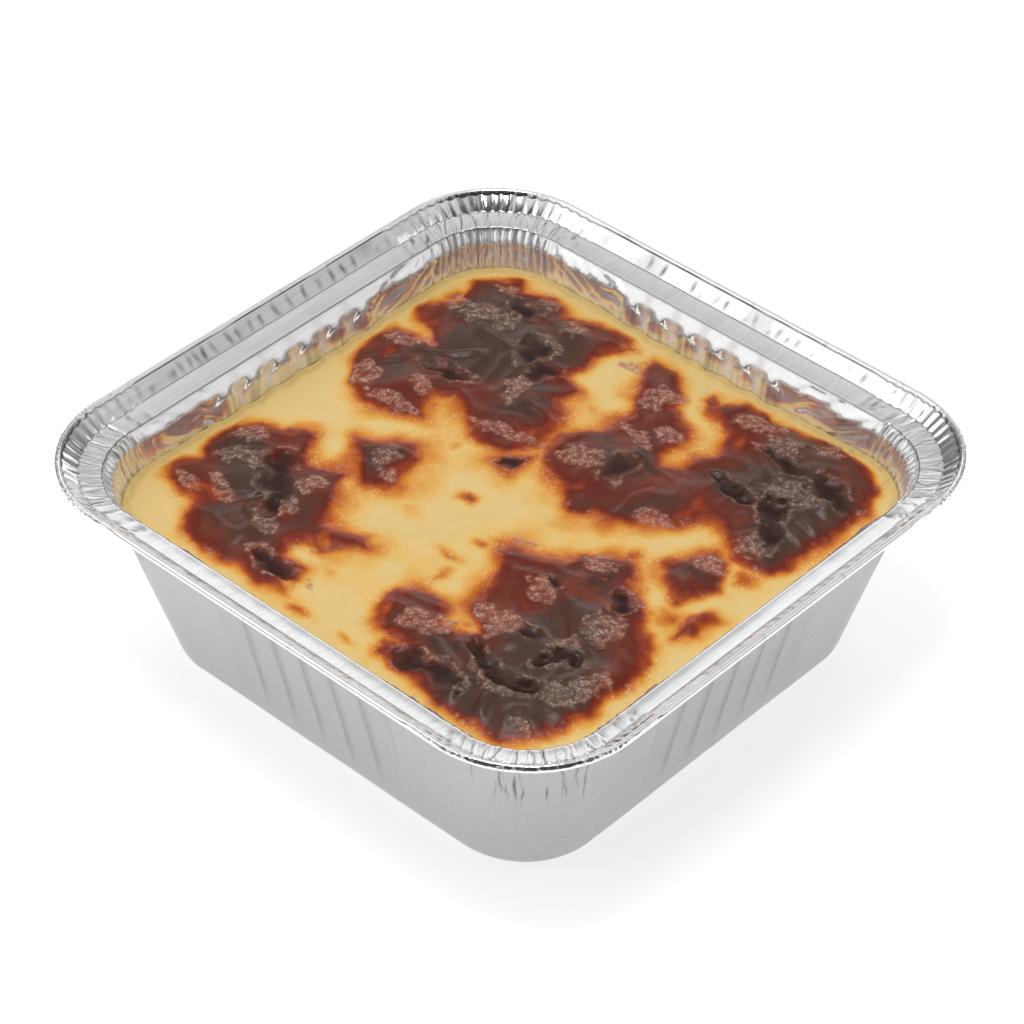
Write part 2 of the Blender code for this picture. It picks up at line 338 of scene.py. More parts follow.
class Shading:
    """The nodes of a material or backdrop, with short ways to join values."""

    def __init__(self, owner, main):
        owner.use_nodes = True
        self.tree = owner.node_tree
        self.main = self.tree.nodes[main]

    def put(self, value, socket):
        """Joins a value to a socket, or sets the socket to a plain value."""
        if isinstance(value, bpy.types.NodeSocket):
            self.tree.links.new(value, socket)
        else:
            socket.default_value = value

    def feed(self, name, value):
        """Puts a value into an input of the main shader."""
        self.put(value, self.main.inputs[name])

    def node(self, kind, **values):
        """A node with its plain settings and inputs given by name."""
        node = self.tree.nodes.new(kind)
        for key, value in values.items():
            if hasattr(node, key):
                setattr(node, key, value)
            else:
                self.put(value, node.inputs[key.replace("_", " ")])
        return node

    def place(self, kind="Object"):
        """The place or direction that is shaded."""
        return self.node("ShaderNodeTexCoord").outputs[kind]

    def stored(self, name):
        """A value stored on the mesh."""
        return self.node("ShaderNodeAttribute", attribute_name=name).outputs["Fac"]

    def noise(self, place, scale, detail, roughness=0.6):
        """Noise over a place, from 0 to 1."""
        node = self.node("ShaderNodeTexNoise", Vector=place, Scale=scale, Detail=detail, Roughness=roughness)
        return node.outputs["Fac"]

    def maths(self, operation, *values, kind="ShaderNodeMath"):
        """The outcome of an operation on values."""
        node = self.node(kind, operation=operation)
        for value, socket in zip(values, node.inputs):
            self.put(value, socket)
        return node.outputs["Value"]

    def scaled(self, value, factor, offset=0.0):
        """A value times a factor, plus an offset."""
        return self.maths("MULTIPLY_ADD", value, factor, offset)

    def product(self, first, *others):
        """Values multiplied in turn."""
        for other in others:
            first = self.maths("MULTIPLY", first, other)
        return first

    def step_up(self, value, low, high):
        """Eases from 0 to 1 between two values."""
        ease = {"interpolation_type": "SMOOTHSTEP", "From_Min": low, "From_Max": high}
        return self.node("ShaderNodeMapRange", Value=value, **ease).outputs["Result"]

    def mixed(self, share, first, second):
        """Two colours mixed, either of which may be an output or a plain colour."""
        node = self.node("ShaderNodeMix", data_type="RGBA", Factor=share)
        for name, colour in (("A", first), ("B", second)):
            socket = next(s for s in node.inputs if s.name == name and s.type == "RGBA")
            self.put((*colour, 1.0) if isinstance(colour, tuple) else colour, socket)
        return next(s for s in node.outputs if s.type == "RGBA")

    def ramp(self, value, stops):
        """A colour picked by a value from (place, colour) stops."""
        node = self.node("ShaderNodeValToRGB", Fac=value)
        elements = node.color_ramp.elements
        while len(elements) > 1:
            elements.remove(elements[0])
        for index, (place, colour) in enumerate(stops):
            stop = elements[0] if index == 0 else elements.new(place)
            stop.position = place
            stop.color = (*colour, 1.0)
        return node.outputs["Color"]

    def bump(self, height, strength, distance):
        """Gives the main shader a fine relief."""
        node = self.node("ShaderNodeBump", Height=height, Strength=strength, Distance=distance)
        self.feed("Normal", node.outputs["Normal"])


def new_material(name):
    """A new material and its nodes."""
    material = bpy.data.materials.new(name)
    return material, Shading(material, "Principled BSDF")


def linear(*colour):
    """A colour given in 0 to 255 screen values, as shader light."""
    return tuple((value / 255.0) ** 2.2 for value in colour)


# The pressed foil

def wall_lean():
    """Lean of the outer wall from upright, tangent to the bend at the base."""
    across = BASE_INSET + BASE_BEND - LEDGE_INSET + SHEET
    rise = LEDGE_HEIGHT - SHEET - BASE_BEND
    return math.atan2(across, rise) - math.asin(BASE_BEND / math.hypot(across, rise))


def wall_level(height, inside, finish):
    """One level of the wall, a thickness inwards: its inset, corner, height and finish."""
    lean = wall_lean()
    foot = BASE_INSET + BASE_BEND - BASE_BEND * math.cos(lean)
    foot_height = BASE_BEND - BASE_BEND * math.sin(lean)
    inset = foot - (height - foot_height) * math.tan(lean) + inside / math.cos(lean)
    corner = BASE_CORNER + (LEDGE_CORNER - BASE_CORNER) * height / LEDGE_HEIGHT - inside
    return inset, corner, height, finish


def base_levels(inside, finish):
    """The floor's edge and the bend up into the wall."""
    levels = []
    for share in (0.0, 0.25, 0.5, 0.75, 1.0):
        angle = share * (math.pi / 2.0 - wall_lean())
        inset = BASE_INSET + BASE_BEND - (BASE_BEND - inside) * math.sin(angle)
        height = BASE_BEND - (BASE_BEND - inside) * math.cos(angle)
        levels.append((inset, BASE_CORNER + BASE_INSET - inset, height, finish))
    return levels


def between(first, last, shares):
    """Levels part of the way from one level to another."""
    return [tuple(a + (b - a) * share for a, b in zip(first[:3], last[:3])) + (first[3],) for share in shares]


def sheet_levels():
    """All levels of the sheet: inside, ledge, lip, bead, and down the outside.

    The last value names the stretch: 0 inner wall, 1 ledge, 2 lip, 3 bead, 4 underside, 5 outer wall.
    """
    inner_heights = [20, 36, 43, 47] + [48.5 + step * 0.75 for step in range(15)] + [59.5, 60.0]
    inner = base_levels(SHEET, 0) + [wall_level(height * MM, SHEET, 0) for height in inner_heights]
    ledge_in = (LEDGE_INSET, LEDGE_CORNER, LEDGE_HEIGHT, 1)
    crease = (CREASE_INSET, RIM_CORNER - CREASE_INSET, CREASE_HEIGHT, 1)
    lip_top = (2.0 * BEAD_RADIUS, RIM_CORNER - 2.0 * BEAD_RADIUS, BEAD_HEIGHT + 0.0001, 2)
    ledge = between(ledge_in, crease, (0.0, 0.05, 0.15, 0.3, 0.5, 0.7, 0.85, 0.95))
    lip = between((*crease[:3], 2), lip_top, (0.0, 0.05, 0.22, 0.4, 0.6, 0.8, 0.94, 1.0))
    bead = []
    for degrees in range(150, -151, -27):
        angle = math.radians(degrees)
        inset = BEAD_REACH - BEAD_RADIUS * math.cos(angle)
        bead.append((inset, RIM_CORNER - inset, BEAD_HEIGHT + BEAD_RADIUS * math.sin(angle), 3))
    crease_under = (CREASE_INSET - 0.2 * SHEET, RIM_CORNER - CREASE_INSET, CREASE_HEIGHT - SHEET, 4)
    ledge_under = (LEDGE_INSET - SHEET, LEDGE_CORNER + SHEET, LEDGE_HEIGHT - SHEET, 4)
    under = between(bead[-1][:3] + (4,), crease_under, (0.5, 0.9))
    under += between(crease_under, ledge_under, (0.1, 0.5, 0.95))
    outer_heights = [59.2, 58] + [56.6 - step * 1.5 for step in range(14)] + [34, 29, 23, 16, 9]
    outer = [wall_level(height * MM, 0.0, 5) for height in outer_heights] + base_levels(0.0, 5)[::-1]
    return inner + ledge + lip + bead + under + outer


def station_shares():
    """Stations of one side and its corner: the stretch they are on, and how far along it."""
    stations = [("run", -((1.0 - step / RUN_STEPS) ** 0.7)) for step in range(RUN_STEPS)]
    stations += [("band", 2.0 * step / BAND_STEPS - 1.0) for step in range(BAND_STEPS + 1)]
    stations += [("end", ((step + 1) / RUN_STEPS) ** 0.7) for step in range(RUN_STEPS)]
    stations += [("arc", (step + 1) / CORNER_STEPS) for step in range(CORNER_STEPS - 1)]
    return stations


def fold_line(length, seed):
    """A crumpled zigzag along a corner: its turning places, and its value there, -1 to 1."""
    random = np.random.default_rng(seed)
    places = [-length]
    while places[-1] < length:
        places.append(places[-1] + random.uniform(PLEAT_LEAST, PLEAT_MOST))
    heights = random.uniform(0.35, 1.0, len(places)) * np.where(np.arange(len(places)) % 2 == 0, 1.0, -1.0)
    return np.array(places), heights


def creases(signed, climb, seed, length, gaps, width, bend):
    """Narrow folds at random places along a corner, each bending a little as it climbs."""
    random = np.random.default_rng(seed)
    depth = np.zeros_like(signed)
    place = -length
    while place < length:
        place += random.uniform(*gaps)
        lean = random.uniform(-bend, bend)
        bow = random.uniform(-0.5, 0.5) * bend
        strength = random.uniform(0.25, 1.0)
        reach = random.uniform(0.3, 1.3)
        middle = place + lean * (climb - 0.5) + bow * math.sin(math.pi * climb)
        fold = np.maximum(1.0 - np.abs(signed - middle) / width, 0.0)
        depth = np.maximum(depth, strength * fold * (1.0 - smooth(reach - 0.2, reach, climb)))
    return depth


def small_dents(signed, height, seed, count):
    """Short, thin, bowed dents scattered over the outside of a corner."""
    random = np.random.default_rng(seed)
    depth = np.zeros_like(signed)
    for _ in range(count):
        place = random.uniform(-24.0, 24.0)
        middle = random.uniform(0.037, 0.053)
        half = random.uniform(0.0030, 0.0075)
        bow = random.uniform(-2.2, 2.2)
        strength = random.uniform(0.3, 1.0)
        rise = (height - middle) / half
        if abs(rise) < 1.0:
            line = place + bow * (1.0 - rise * rise) + 0.6 * bow * rise
            across = np.exp(-((signed - line) / 0.31) ** 2)
            depth = np.maximum(depth, strength * (1.0 - rise * rise) * across)
    return depth


def flute_place(side, along):
    """Whether a place is in the fluted band, its part of a flute, and its nearest valley."""
    pitch, shift = FLUTE_BANDS[side]
    phase = (along - shift) / pitch + FLUTES / 2.0
    within = (phase > 0.0) & (phase < FLUTES)
    return within, phase % 1.0, np.round(phase)


def flute_push(side, along, height):
    """How far a flute stands in, as a share of its depth, with a rounded top."""
    within, phase, _ = flute_place(side, along)
    crest = np.sin(math.pi * phase) ** 0.75
    arch = FLUTE_TOP - 0.0046 * (2.0 * phase - 1.0) ** 2
    top = 1.0 - smooth(arch - 0.0030, arch, height)
    foot = smooth(0.006, 0.022, height)
    return np.where(within, crest * top * foot, 0.0)


def valley_line(side, along, width):
    """A line along each valley between two flutes, of a width given as a share of a flute."""
    _, phase, valley = flute_place(side, along)
    away = np.minimum(phase, 1.0 - phase) / width
    return np.where((valley > 0) & (valley < FLUTES), np.exp(-away * away), 0.0)


def shoulder_push(height):
    """Extra lean of the inner wall just under the ledge, fading out below the bake's edge."""
    return np.interp(height, (0.028, 0.044, 0.0550, 0.0572, WALL_TOP), (0.0, 0.0007, 0.0015, 0.0020, 0.0))


class Stand:
    """The stations of one side and its corner at one level."""

    def __init__(self, side, along, height, inset, signed, ahead):
        self.side = side
        self.along = along
        self.height = height
        self.inset = inset
        self.signed = signed
        self.ahead = ahead
        self.level = height / MM
        self.near = np.abs(signed)
        self.pleated = 1.0 - smooth(PLEAT_BAND - 0.8, PLEAT_BAND + 0.4, self.near)
        self.plain = 1.0 - self.pleated
        self.folds = self.by_corner(self.zigzag)

    def by_corner(self, effect):
        """An effect of the corner that each station is nearest to, given each corner's number."""
        return np.where(self.ahead, effect(self.side), effect((self.side - 1) % 4))

    def zigzag(self, corner):
        """The crumpled folds of a corner."""
        places, heights = fold_line(PLEAT_BAND, FOLD_SEED + corner)
        return np.interp(self.signed, places, heights, left=0.0, right=0.0)

    def creases(self, climb, seed, length, gaps, width, bend):
        """The narrow folds of the nearest corner."""
        shape = (length, gaps, width, bend)
        return self.by_corner(lambda corner: creases(self.signed, climb, seed + corner, *shape))

    def grain(self, drift, size, kind):
        """Random relief along the rim, of the side's own."""
        return grain(self.signed, drift, size, SIDE_SEED + 7 * self.side + kind)

    def flute(self):
        """How far a flute stands in, as a share of its depth."""
        return flute_push(self.side, self.along, self.height)


# Each stretch of the sheet gives its stations' inward push, lift and darkening. The darkening is
# painted shade and painted dark reflection in creases, grooves, pleats, nicks, dents and flute
# valleys and on the underside; on the lip it also holds smears. Where the darkening is negative,
# it is milkiness, which paints highlights on pleat crests, flute valleys and crimps.

def press_inner(at):
    """Flutes, pleated corners, and folds that fan out between them on the inner wall."""
    height = at.height
    climb = float(np.clip((WALL_TOP - height) / 0.012, 0.0, 1.0))
    deep = smooth(0.034, 0.047, height) * (1.0 - smooth(0.0590, WALL_TOP, height))
    around = 1.0 - smooth(28.0, 38.0, at.near)
    past_flutes = (np.abs(at.along) - HALF_BAND + 0.004) / MM
    beside = (1.0 - around) * smooth(-1.0, 1.5, past_flutes)
    slant = at.signed - np.sign(at.signed) * (WALL_TOP - height) / MM * 1.5
    seed = SIDE_SEED + 7 * at.side
    fan = grain(slant, at.level * 0.12, 2.4, seed) + 0.6 * grain(slant, at.level * 0.12, 1.2, seed + 1)
    lines = at.creases(climb, LEDGE_SEED, 38.0, (3.0, 7.0), 0.50, 3.0)
    finer = at.grain(at.level * 0.25, 0.8, 2)
    finger = at.flute()
    push = FLUTE_DEPTH * finger + shoulder_push(height)
    push = push + 0.00055 * (at.folds + 0.5 * finer) * around * deep
    push = push + 0.00080 * fan * beside * deep
    # The creases are darkened as painted shade, the flutes get streaks of painted reflection, and the flute
    # valleys and the crests of the corner pleats are made milky as painted highlights
    streaks = np.clip(0.5 + 1.4 * grain(at.along / MM, at.level * 0.10, 1.3, seed + 9), 0.0, 1.0)
    pale = 0.85 * valley_line(at.side, at.along, 0.15) * smooth(0.040, 0.046, height)
    pale = pale + 0.60 * np.clip(at.folds, 0.0, 1.0) ** 0.7 * around * deep
    dark = 0.75 * lines * around * deep + 0.42 * finger * streaks - pale
    return push - 0.0002 * lines * around, 0.0, dark


def press_ledge(at):
    """A slightly hollow ledge with a groove at each edge and creases round the corners."""
    span = float((LEDGE_INSET - at.inset) / (LEDGE_INSET - CREASE_INSET))
    lines = at.creases(1.0 - span, LEDGE_SEED, 38.0, (3.0, 7.0), 0.40, 3.0)
    finer = at.creases(span, FINE_SEED, 39.0, (1.2, 3.4), 0.36, 2.0)
    waver = 0.00024 * at.grain(at.level, 3.0, 0) * at.pleated * (1.0 - span)
    groove = float(span > 0.97 or span < 0.02)
    ripple = 0.00005 * at.grain(span * 6.0, 7.0, 1)
    ripple = ripple + 0.00016 * grain(at.signed, span, 3.5, 90) * at.pleated
    dip = (0.00034 * lines + 0.00020 * finer) * at.pleated
    # The corner creases and the edge grooves are darkened as painted shade
    dark = np.clip(0.95 * lines ** 0.6 + 0.40 * finer ** 0.8, 0.0, 0.96) * at.pleated
    trough = 0.00018 * math.sin(math.pi * min(max(span, 0.0), 1.0))
    return waver, ripple - dip - trough - 0.0001 * groove, np.maximum(dark, 0.72 * groove)


def press_lip(at):
    """A lip that is pleated at the corners, with pressed marks and smears between them."""
    span = float((CREASE_INSET - at.inset) / (CREASE_INSET - 2.0 * BEAD_RADIUS))
    marks = creases(at.along / MM, span, MARK_SEED + at.side, 60.0, (2.6, 6.5), 1.00, 1.2)
    slow = at.grain(span * 3.0, 11.0, 2)
    swell = float(math.sin(math.pi * span))
    groove = float(span < 0.03 or span > 0.95)
    finer = at.grain(span * 4.0, 0.9, 3)
    sharp = np.sign(at.folds) * np.abs(at.folds) ** 0.6
    push = 0.00060 * (sharp + 1.0 + 0.4 * finer) * at.pleated * (0.45 + 0.55 * swell)
    push = push + (0.00010 * slow + 0.00016 * marks * swell) * at.plain
    lines = at.creases(span, LIP_SEED, 39.0, (1.2, 4.0), 0.40, 0.8)
    streak = smooth(0.10, 0.55, at.grain(span * 5.0, 16.0, 8)) * at.plain
    # Painted shade in the pleats' creases, the pressed marks and the edge grooves; the smears are a random
    # darkening
    dark = 0.62 * lines * at.pleated + 0.95 * marks ** 0.8 * swell * at.plain + 0.28 * streak
    return push, -0.6 * push, np.maximum(dark, 0.72 * groove)


def press_bead(at):
    """A round bead, crimped into facets at the corners and nicked here and there between them."""
    crinkle = at.grain(at.level * 1.6, 1.2, 3)
    crimp = at.creases(0.5, CRIMP_SEED, 39.0, (1.3, 3.6), 0.42, 0.5) * at.pleated
    nick = creases(at.along / MM, 0.5, NICK_SEED + at.side, 80.0, (9.0, 40.0), 0.5, 0.0) * at.plain
    cells = np.clip(crinkle + 0.5, 0.0, 2.0) * at.pleated
    outward = (BEAD_REACH - at.inset) / BEAD_RADIUS
    upward = (at.height - BEAD_HEIGHT) / BEAD_RADIUS
    # The facets face outwards and a little up, 25 degrees
    facing = max(0.906 * outward + 0.423 * upward - 0.70, 0.0)
    flat = facing * BEAD_RADIUS * at.pleated * (1.0 - crimp)
    push = 0.00008 * cells - 0.00010 * crimp + 0.00012 * nick + 0.906 * flat
    sag = -0.00006 * cells - 0.423 * flat
    # The crinkled corners are darkened as painted dark reflection and the nicks as painted shade; the crimps
    # turn milky as painted bright breaks
    dark = np.maximum(0.40 * np.clip(crinkle - 0.1, 0.0, 1.0) * at.pleated, 0.4 * nick)
    return push, sag, np.where(crimp > 0.25, -0.85 * crimp, dark)


def press_under(at):
    """The plain underside of the lip and ledge."""
    # The whole underside is darkened as painted shade under the rim
    return 0.00012 * at.folds * at.pleated, 0.0, 0.15


def press_outer(at):
    """Flutes, slow waves and the corners' small dents on the outer wall."""
    dents = at.by_corner(lambda corner: small_dents(at.signed, at.height, DENT_SEED + corner, 22))
    slow = at.grain(at.level * 0.5, 20.0, 6)
    # The dents and the flute valleys are darkened as painted shade
    stripe = 0.24 * valley_line(at.side, at.along, 0.11) * smooth(0.006, 0.014, at.height)
    push = FLUTE_DEPTH * at.flute() + 0.00070 * dents + 0.00010 * (slow + 1.0)
    return push, 0.0, np.minimum(0.95 * dents ** 1.2 + stripe, 0.95)


PRESSES = (press_inner, press_ledge, press_lip, press_bead, press_under, press_outer)


def sheet_rows():
    """Every level's points and tones, with all pressing, pleating and crumpling worked in."""
    stations = station_shares()
    kinds = np.array([kind for kind, share in stations])
    shares = np.array([share for kind, share in stations])
    on_arc = kinds == "arc"
    angle = np.where(on_arc, shares * math.pi / 2.0, 0.0)
    arc = RIM_CORNER / MM * math.pi / 4.0
    rows = []
    for inset, corner, height, stretch in sheet_levels():
        row = []
        for side in range(4):
            along_x = side % 2 == 1
            reach = (TRAY_WIDTH if along_x else TRAY_LENGTH) / 2.0 - inset
            half_run = (TRAY_LENGTH if along_x else TRAY_WIDTH) / 2.0 - inset - corner
            free = half_run - HALF_BAND
            along = np.select(
                [kinds == "run", kinds == "band", kinds == "end"],
                [-HALF_BAND + shares * free, shares * HALF_BAND, HALF_BAND + shares * free],
                half_run + corner * np.sin(angle),
            )
            out = np.where(on_arc, reach - corner + corner * np.cos(angle), reach)
            # Distance along the rim from the middle of each neighbouring corner, in millimetres
            to_next = np.where(on_arc, (shares - 0.5) * 2.0 * arc, (along - half_run) / MM - arc)
            to_last = (along + half_run) / MM + arc
            ahead = np.abs(to_next) < np.abs(to_last)
            at = Stand(side, along, height, inset, np.where(ahead, to_next, to_last), ahead)
            push, lift, dark = PRESSES[stretch](at)
            out = out - push * np.cos(angle)
            along = along - push * np.sin(angle)
            cosine = round(math.cos(side * math.pi / 2.0))
            sine = round(math.sin(side * math.pi / 2.0))
            x = out * cosine - along * sine
            y = out * sine + along * cosine
            row.append(np.stack(np.broadcast_arrays(x, y, height + lift, dark), axis=1))
        rows.append(np.concatenate(row))
    return rows


# Fine lines left by rolling: how many a metre each way, and how much they shade the foil
ROLLING_GRAIN = (1100.0, 40.0, 1100.0)
ROLLING_SHADE = {"From_Min": 0.3, "From_Max": 0.7, "To_Min": 0.90, "To_Max": 1.04}


def foil_material():
    """Bright rolled foil: mirror-like pleats, a satin ledge and satin outer walls, toned with the painted
    shade and painted highlights stored on the sheet.
    """
    material, nodes = new_material("rolled foil")
    place = nodes.place()
    satin = nodes.stored("satin")
    drawn = nodes.node("ShaderNodeMapping", Vector=place, Scale=ROLLING_GRAIN)
    rolling = nodes.noise(drawn.outputs["Vector"], 1.0, 3.0)
    cloud = nodes.noise(place, 110.0, 4.0, 0.55)
    nodes.feed("Roughness", nodes.maths("ADD", satin, nodes.scaled(cloud, 0.06, -0.03)))
    # Milkiness takes away metal; where it is raised above the stretch's own, it paints highlights
    nodes.feed("Metallic", nodes.scaled(nodes.stored("milk_and_highlight"), -1.0, 1.0))

    shade = nodes.node("ShaderNodeMapRange", Value=rolling, **ROLLING_SHADE)
    # The stored tone is each stretch's brightness, darkened with painted shade in creases, grooves, dents and
    # valleys and on the underside
    toned = nodes.product(nodes.stored("tone"), shade.outputs["Result"])
    grey = nodes.node("ShaderNodeCombineColor", Red=toned, Green=toned, Blue=toned)
    nodes.feed("Base Color", grey.outputs["Color"])
    nodes.bump(rolling, nodes.step_up(satin, 0.22, 0.75), 0.0002)
    return material


# Roughness, milkiness and brightness of each stretch of the sheet. The underside's low brightness is
# painted shade, and the outer walls' is partly a duller finish and partly painted shade
FINISHES = (
    (0.12, 0.36, 0.95),
    (0.23, 0.16, 0.80),
    (0.11, 0.05, 0.92),
    (0.14, 0.06, 0.93),
    (0.30, 0.30, 0.66),
    (0.38, 0.24, 0.52),
)


def make_tray():
    """The pressed sheet, grown level by level, with its finish, painted shade and painted highlights stored
    on it.
    """
    mesh = bmesh.new()
    satin, milk_and_highlight, tone = (mesh.verts.layers.float.new(name) for name in ("satin", "milk_and_highlight", "tone"))
    floor = rim = None
    for level, stations in zip(sheet_levels(), sheet_rows()):
        points = [Vector(station[:3]) for station in stations]
        rim = grow_rim(mesh, rim, points) if rim else first_rim(mesh, points)
        floor = floor or rim
        rough, milky, bright = FINISHES[level[3]]
        for vertex, dark in zip(rim, stations[:, 3]):
            vertex[satin] = rough
            # Negative darkening raises milkiness as painted highlights; positive darkening lowers the tone,
            # mostly as painted shade and on the lip also as smears
            vertex[milk_and_highlight] = milky + (1.0 - milky) * max(-dark, 0.0)
            vertex[tone] = bright * (1.0 - max(dark, 0.0))
    close_rim(mesh, floor)
    close_rim(mesh, rim)
    add_piece("foil_tray", mesh, foil_material(), "tray")


# The bake

def to_round_square(across, along, half_x, half_y, corner):
    """Moves a square grid, -1 to 1 both ways, onto a rectangle with round corners."""
    ring = np.maximum(np.abs(across), np.abs(along))
    safe = np.where(ring == 0.0, 1.0, ring)
    edge_x = across / safe * half_x
    edge_y = along / safe * half_y
    start_x = half_x - corner
    start_y = half_y - corner
    beyond_x = np.maximum(np.abs(edge_x) - start_x, 0.0)
    beyond_y = np.maximum(np.abs(edge_y) - start_y, 0.0)
    both = (beyond_x > 0.0) & (beyond_y > 0.0)
    # Slide the corner points onto the arc along their own direction from its middle
    turn = np.arctan2(beyond_y, beyond_x)
    arc_x = np.sign(edge_x) * (start_x + corner * np.cos(turn))
    arc_y = np.sign(edge_y) * (start_y + corner * np.sin(turn))
    edge_x = np.where(both, arc_x, edge_x)
    edge_y = np.where(both, arc_y, edge_y)
    return edge_x * ring, edge_y * ring, ring


def browning(x, y, ring):
    """Depth in millimetres within the patches, and how browned and how burnt the skin is."""
    wx = x + 1.3 * grain(x, y, 7.0, 11) + 0.40 * grain(x, y, 2.8, 12) + 0.12 * grain(x, y, 1.3, 15)
    wy = y + 1.3 * grain(x, y, 7.0, 13) + 0.40 * grain(x, y, 2.8, 14) + 0.12 * grain(x, y, 1.3, 16)
    depth = np.full(x.shape, -99.0)
    for outline in PATCHES.values():
        depth = np.maximum(depth, inside_depth(wx, wy, outline))
    char = np.zeros(x.shape)
    for *form, strength in CHARRED:
        char = np.maximum(char, strength * (1.0 - smooth(0.25, 1.5, ellipse_reach(wx, wy, *form))))
    char = char * smooth(0.5, 4.0, depth)

    centre = smooth(0.15, 0.55, 1.0 - ring)
    fringe = 1.4 + (4.4 + 6.5 * centre) * (0.45 + 1.0 * np.clip(0.5 + 0.9 * grain(x, y, 11.0, 17), 0.0, 1.0))
    outside = np.clip(1.0 + 0.9 * np.minimum(depth, 0.0) / fringe, 0.0, 1.0)
    done = 0.26 + 0.74 * np.clip(0.34 + 1.3 * char + 0.8 * grain(x, y, 13.0, 29), 0.0, 1.0)
    window = 0.13 * smooth(0.10, 0.60, grain(x, y, 8.0, 39)) * (1.0 - smooth(0.1, 0.4, char))
    toast = 0.46 * outside ** 1.35 + np.clip(0.110 * depth, 0.0, 0.54) * done
    toast = toast - window * smooth(0.0, 4.0, depth)
    for *form, strength in GOLDEN_SPOTS:
        toast = np.maximum(toast, strength * np.exp(-1.2 * ellipse_reach(wx, wy, *form)))
    toast = toast * (1.0 - smooth(0.955, 0.99, ring))
    return wx, wy, depth, toast, char


def hollows(x, y):
    """Pits: how deep a tone of painted shade they get, their fall in millimetres, and the raised brim round
    them.
    """
    pit = np.zeros(x.shape)
    fall = np.zeros(x.shape)
    brim = np.zeros(x.shape)
    drift_x = x + 2.2 * grain(x, y, 7.0, 11)
    drift_y = y + 2.2 * grain(x, y, 7.0, 13)
    uneven = 0.30 * grain(x, y, 3.0, 35)
    for pit_x, pit_y, radius_x, radius_y, turn, deepest in PITS:
        radii = (1.25 * radius_x + 0.5, 1.25 * radius_y + 0.5)
        spread = ellipse_reach(drift_x, drift_y, pit_x, pit_y, *radii, turn) + uneven
        hollow = 1.0 - smooth(0.0, 1.5, spread)
        pit = np.maximum(pit, hollow ** 1.5)
        fall = np.minimum(fall, -deepest * hollow)
        brim = np.maximum(brim, np.exp(-12.0 * (np.sqrt(np.maximum(spread, 0.0)) - 1.3) ** 2))
    return pit, fall, brim


def bubble_tops(x, y, wx, wy, depth, ragged, pit, brim):
    """Where dry bubbles cover the skin: their patches, the pits' brims, and froth by the brown."""
    cover = np.zeros(x.shape)
    for form in BLISTERS:
        cover = np.maximum(cover, 1.0 - smooth(0.75, 1.15, ellipse_reach(wx, wy, *form) + ragged))
    on_brim = smooth(0.66, 0.92, brim + 0.25 * ragged) * smooth(-0.15, 0.15, grain(x, y, 5.0, 36))
    cover = np.maximum(cover, 0.9 * on_brim)
    near_brown = smooth(-6.0, -1.0, depth) * (1.0 - smooth(0.0, 2.5, depth))
    froth = smooth(0.15, 0.40, grain(x, y, 1.7, 33)) * smooth(0.05, 0.30, grain(x, y, 9.0, 34))
    cover = np.maximum(cover, 0.55 * froth * near_brown)
    return np.clip(cover - 0.9 * pit, 0.0, 1.0) * (0.25 + 0.75 * smooth(-0.30, 0.25, grain(x, y, 1.8, 37)))


def skin_folds(x, y):
    """Long folds and wrinkles of the browned skin, in millimetres."""
    drift_x = x + 9.0 * grain(x, y, 20.0, 20)
    drift_y = y + 9.0 * grain(x, y, 20.0, 26)
    fold = 1.0 - np.abs(grain(drift_x, drift_y, 15.0, 21))
    long_fold = grain(drift_x, 0.4 * drift_y, 5.0, 22)
    wrinkle = grain(drift_x, 0.25 * drift_y, 1.5, 27)
    return 1.1 * smooth(0.60, 1.0, fold) + 0.20 * long_fold + 0.10 * wrinkle


def skin_fields(x, y, ring):
    """Height of the skin in millimetres and its stored browning, char, bubbles, pits and edge."""
    wx, wy, depth, toast, char = browning(x, y, ring)
    ragged = 0.70 * grain(x, y, 3.0, 18) + 0.35 * grain(x, y, 1.4, 19)
    pit, fall, brim = hollows(x, y)
    blister = bubble_tops(x, y, wx, wy, depth, ragged, pit, brim)

    height = FILL_CROWN / MM * (1.0 - smooth(0.70, 1.0, ring))
    for *form, rise in SWELLS:
        height = height + 0.9 * rise * np.exp(-1.6 * ellipse_reach(x, y, *form))
    browned = smooth(-1.5, 3.0, depth)
    height = height + browned * (0.4 + skin_folds(x, y) * (0.45 + 0.55 * char))
    height = height + fall + 0.30 * brim * browned
    bubbly = 0.26 + 0.07 * grain(x, y, 1.1, 23) + 0.10 * grain(x, y, 2.2, 28)
    height = height + blister * bubbly * (0.35 + 0.65 * browned)
    lumps = 0.30 * grain(x, y, 9.0, 24) + 0.10 * grain(x, y, 3.5, 25)
    height = height + lumps * (1.0 - 0.6 * browned)
    height = height * smooth(0.0, 0.16, 1.0 - ring)

    # A thin raised line where the bake clings to the foil, with the edge darkened there as painted shade
    shore = ring + 0.004 * grain(x, y, 2.5, 31) + 0.004 * grain(x, y, 6.0, 32)
    shore = shore + 0.009 * grain(x, y, 5.0, 38)
    edge = (0.55 + 0.3 * grain(x, y, 3.0, 41)) * smooth(0.972, 0.984, shore)
    height = height + 0.8 * smooth(0.980, 1.0, shore) - 0.14 * smooth(0.955, 0.974, shore)
    return height, {"toast": toast, "char": char, "blister": blister, "pit": pit, "edge": edge}


